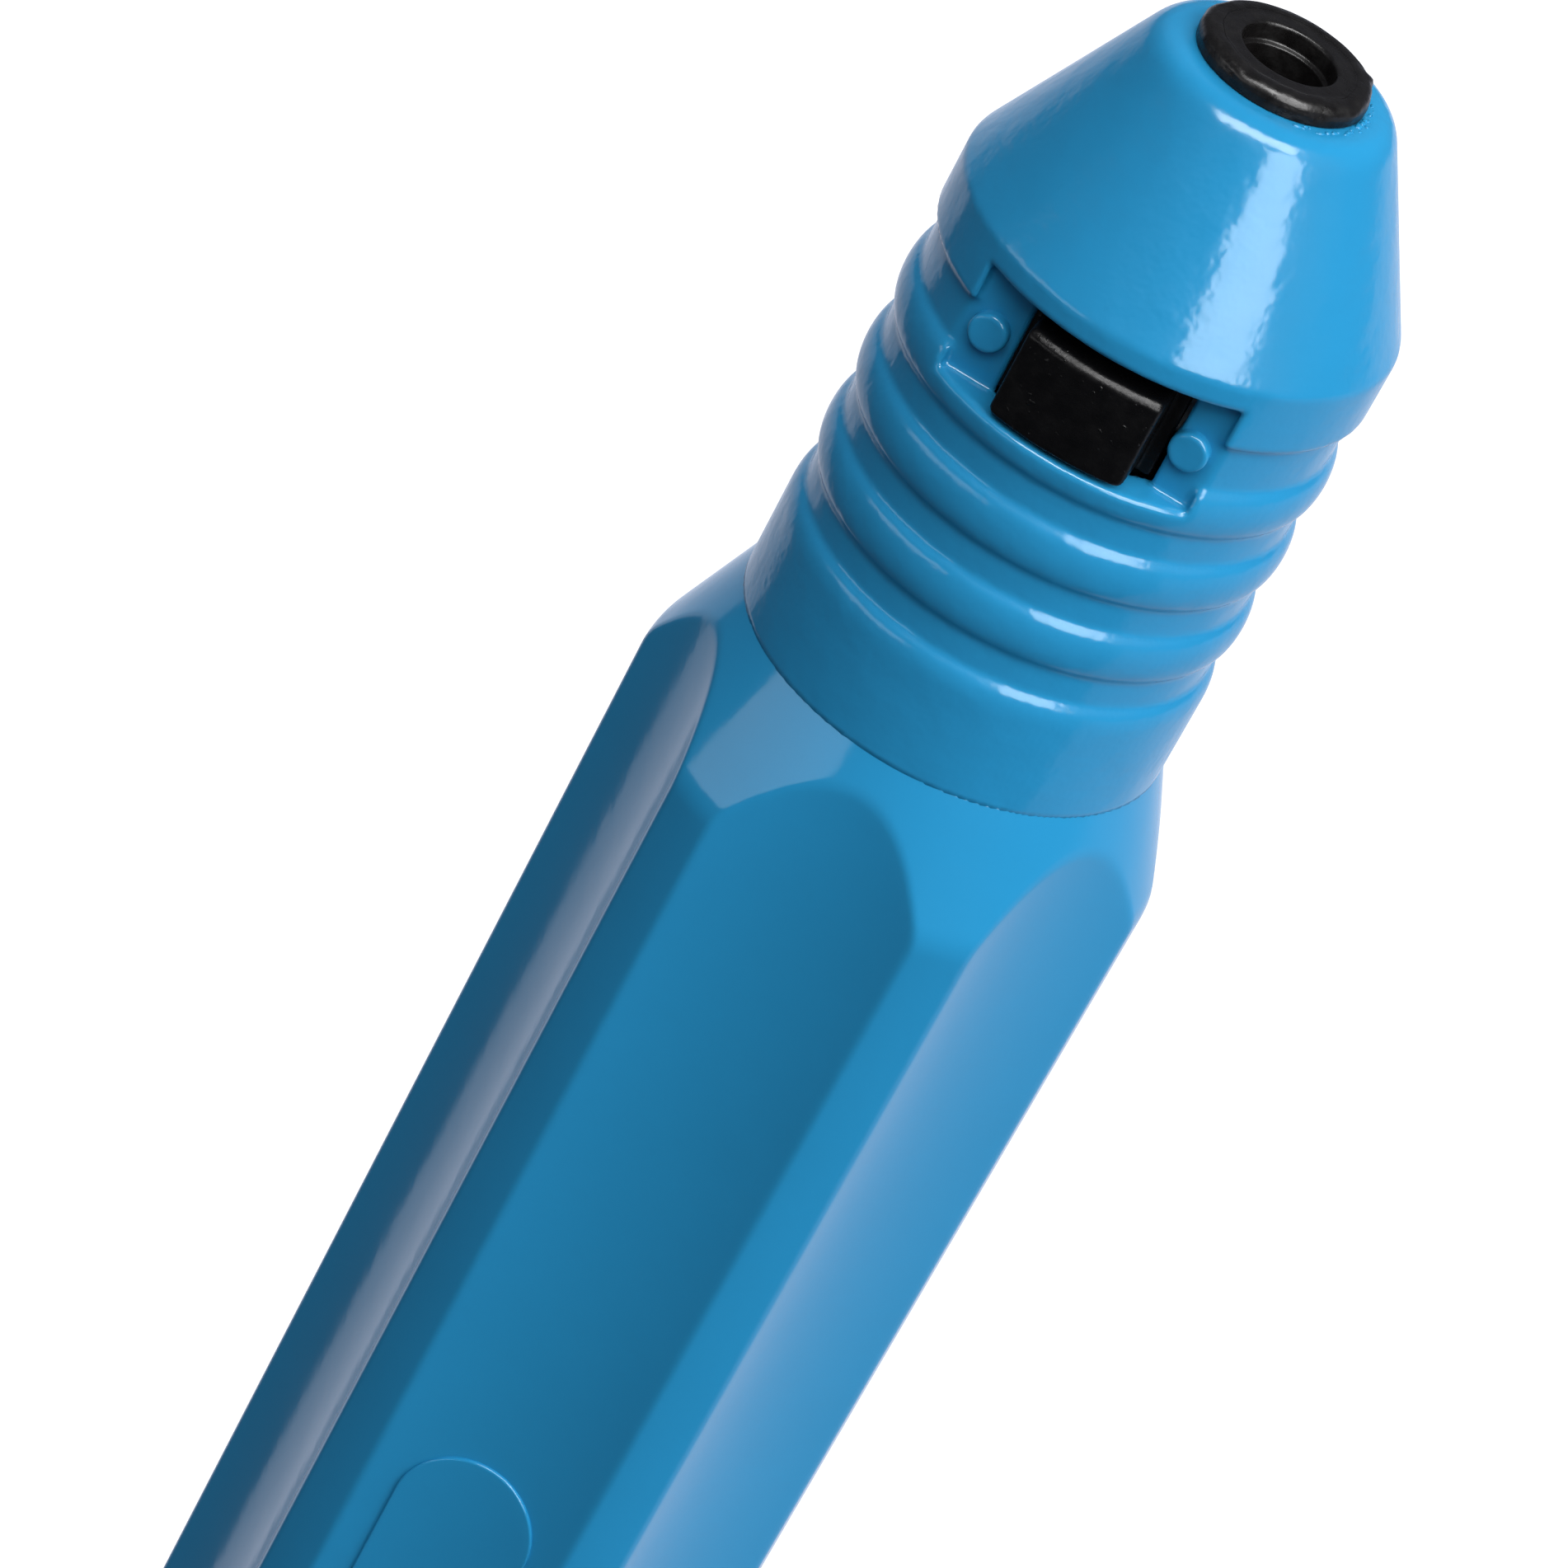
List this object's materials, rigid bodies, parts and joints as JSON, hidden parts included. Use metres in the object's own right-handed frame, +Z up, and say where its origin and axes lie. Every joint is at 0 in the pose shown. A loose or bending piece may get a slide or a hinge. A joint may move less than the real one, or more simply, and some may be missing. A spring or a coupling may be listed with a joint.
{
  "type": "motorized pipette controller",
  "caption": "Straight battery-driven pipette controller with a fluted grip, ribbed neck, conical nose, soft pipette socket and one push key; motor, air pump, valve and batteries inside.",
  "frame": {"origin": "middle of the flat foot of the end cap", "axes": "+Z up the grip towards the nose, -Y the side with the key, +X to the right when looking at the key"},
  "size_m": [0.035, 0.032, 0.2],
  "materials": {
    "blue_plastic": "gloss",
    "black_plastic": "semi-gloss",
    "black_rubber": "matt moulded",
    "clear_silicone": "satin",
    "grey_plastic": "matt",
    "white_plastic": "satin",
    "steel": "satin",
    "dark_steel": "dull",
    "copper": "enamelled wire",
    "brass": "turned",
    "circuit_board": "solder mask",
    "cell_wrap": "printed film",
    "red_insulation": "satin",
    "black_insulation": "satin"
  },
  "bodies": {
    "main": {"battery_cell_1": "cell_wrap", "battery_cell_2": "cell_wrap", "battery_cell_3": "cell_wrap", "battery_holder": "grey_plastic", "battery_lead_black": "black_insulation", "battery_lead_red": "red_insulation", "board_capacitor": "dark_steel", "contact_plate_upper": "white_plastic", "control_board": "circuit_board", "diaphragm": "black_rubber", "driver_chip": "black_plastic", "filter_base": "clear_silicone", "filter_disc": "white_plastic", "filter_lid": "clear_silicone", "grip_sleeve": "blue_plastic", "key_pin_left": "blue_plastic", "key_pin_right": "blue_plastic", "micro_switch": "black_plastic", "motor_bush_lower": "brass", "motor_bush_upper": "brass", "motor_can": "steel", "motor_cradle": "grey_plastic", "motor_end_bell": "white_plastic", "motor_lead_black": "black_insulation", "motor_lead_red": "red_insulation", "motor_magnet_left": "dark_steel", "motor_magnet_right": "dark_steel", "nose_housing": "blue_plastic", "pressure_tube": "clear_silicone", "pump_cover": "grey_plastic", "pump_housing": "grey_plastic", "pump_screw_1": "steel", "pump_screw_2": "steel", "pump_screw_3": "steel", "spool_plug": "brass", "spool_spring": "steel", "suction_tube": "clear_silicone", "valve_block": "white_plastic", "valve_flap": "black_rubber", "valve_plate": "white_plastic"},
    "key": {"key_cap": "black_plastic", "valve_spool": "brass"},
    "plunger": {"switch_plunger": "white_plastic"},
    "socket": {"pipette_socket": "black_rubber"},
    "contact_carrier": {"contact_plate_lower": "white_plastic", "battery_spring_1": "steel", "battery_spring_2": "steel", "battery_spring_3": "steel"},
    "cap": {"end_cap": "blue_plastic", "cap_seal": "black_rubber"},
    "rotor": {"motor_shaft": "steel", "rotor_core": "copper", "commutator": "brass", "eccentric_wheel": "brass", "tilt_pin": "steel"},
    "swing": {"swing_plate": "white_plastic"}
  },
  "joints": [
    {"name": "key_press", "type": "slide", "parent": "main", "child": "key", "axis": [0, 1, 0], "range_m": [0, 0.0013], "stiffness_N_per_m": 1500, "springref_m": -0.0006, "deforming": ["spool_spring"]},
    {"name": "plunger_slide", "type": "slide", "parent": "main", "child": "plunger", "axis": [0, 1, 0], "range_m": [0, 0.0013]},
    {"name": "socket_pull", "type": "slide", "parent": "main", "child": "socket", "axis": [0, 0, 1], "range_m": [0, 0.012]},
    {"name": "cap_pull", "type": "slide", "parent": "main", "child": "contact_carrier", "axis": [0, 0, -1], "range_m": [0, 0.03]},
    {"name": "cap_turn", "type": "hinge", "parent": "contact_carrier", "child": "cap", "pos_m": [0, 0, 0], "axis": [0, 0, 1], "range_deg": [0, 40]},
    {"name": "motor_spin", "type": "hinge", "parent": "main", "child": "rotor", "pos_m": [0, 0, 0], "axis": [0, 0, 1], "continuous": true},
    {"name": "swing_wobble", "type": "hinge", "parent": "rotor", "child": "swing", "pos_m": [0, 0, 0.1125], "axis": [0, -0.1045, 0.9945], "continuous": true}
  ],
  "couplings": [
    {"joint": "plunger_slide", "follows": "key_press", "ratio": 1},
    {"joint": "swing_wobble", "follows": "motor_spin", "ratio": -1}
  ]
}
